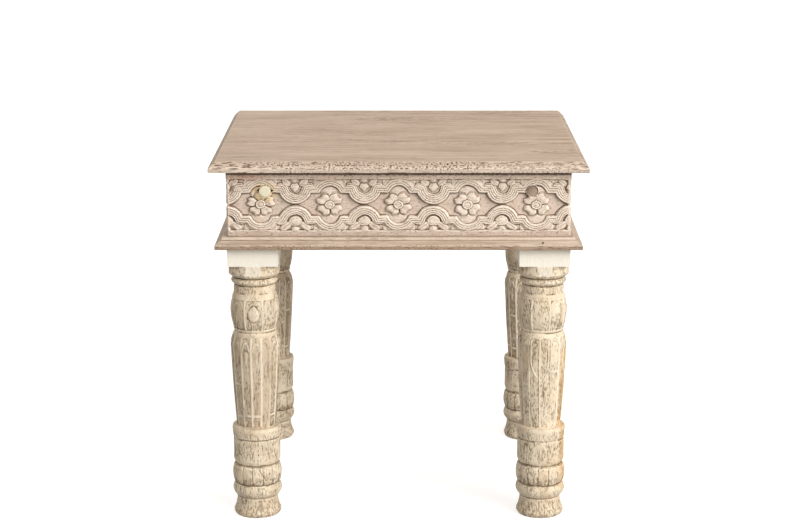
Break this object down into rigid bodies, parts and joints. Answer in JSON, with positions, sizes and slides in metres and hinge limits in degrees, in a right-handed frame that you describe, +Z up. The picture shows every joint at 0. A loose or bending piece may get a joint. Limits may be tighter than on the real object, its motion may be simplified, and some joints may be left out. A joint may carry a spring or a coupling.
{
  "type": "carved side table",
  "caption": "Low square side table: bevelled plank top over a box of carved floral aprons and a moulded base frame, standing on stout turned legs.",
  "frame": {"origin": "on the floor under the middle of the top", "axes": "+Z up, front faces -Y, +X to the right as seen from the front"},
  "size_m": [0.56, 0.52, 0.559],
  "materials": {
    "limed_top": "limed, matt",
    "carved_apron": "limed carving, matt",
    "base_moulding": "limed, matt",
    "turned_leg": "worn cream paint",
    "inner_wood": "bare sawn wood",
    "pale_plug": "bare end grain",
    "dark_plug": "stained end grain",
    "zinc_steel": "zinc plated"
  },
  "bodies": {
    "root": {"top_board_front": "limed_top", "top_board_middle": "limed_top", "top_board_rear": "limed_top", "top_batten_left": "inner_wood", "top_batten_right": "inner_wood", "top_block_front": "inner_wood", "front_apron": "carved_apron", "base_rail_front": "base_moulding", "top_block_right": "inner_wood", "right_apron": "carved_apron", "base_rail_right": "base_moulding", "top_block_rear": "inner_wood", "rear_apron": "carved_apron", "base_rail_rear": "base_moulding", "top_block_left": "inner_wood", "left_apron": "carved_apron", "base_rail_left": "base_moulding", "corner_block_front_left": "inner_wood", "leg_front_left": "turned_leg", "corner_block_front_right": "inner_wood", "leg_front_right": "turned_leg", "corner_block_rear_left": "inner_wood", "leg_rear_left": "turned_leg", "corner_block_rear_right": "inner_wood", "leg_rear_right": "turned_leg", "front_plug_left": "pale_plug", "front_plug_right": "dark_plug", "side_and_rear_plugs": "dark_plug", "leg_bolts": "zinc_steel", "leg_washers": "zinc_steel", "leg_nuts": "zinc_steel", "apron_screws": "zinc_steel", "base_rail_screws": "zinc_steel", "top_block_screws": "zinc_steel", "batten_screws": "zinc_steel"}
  },
  "joints": []
}
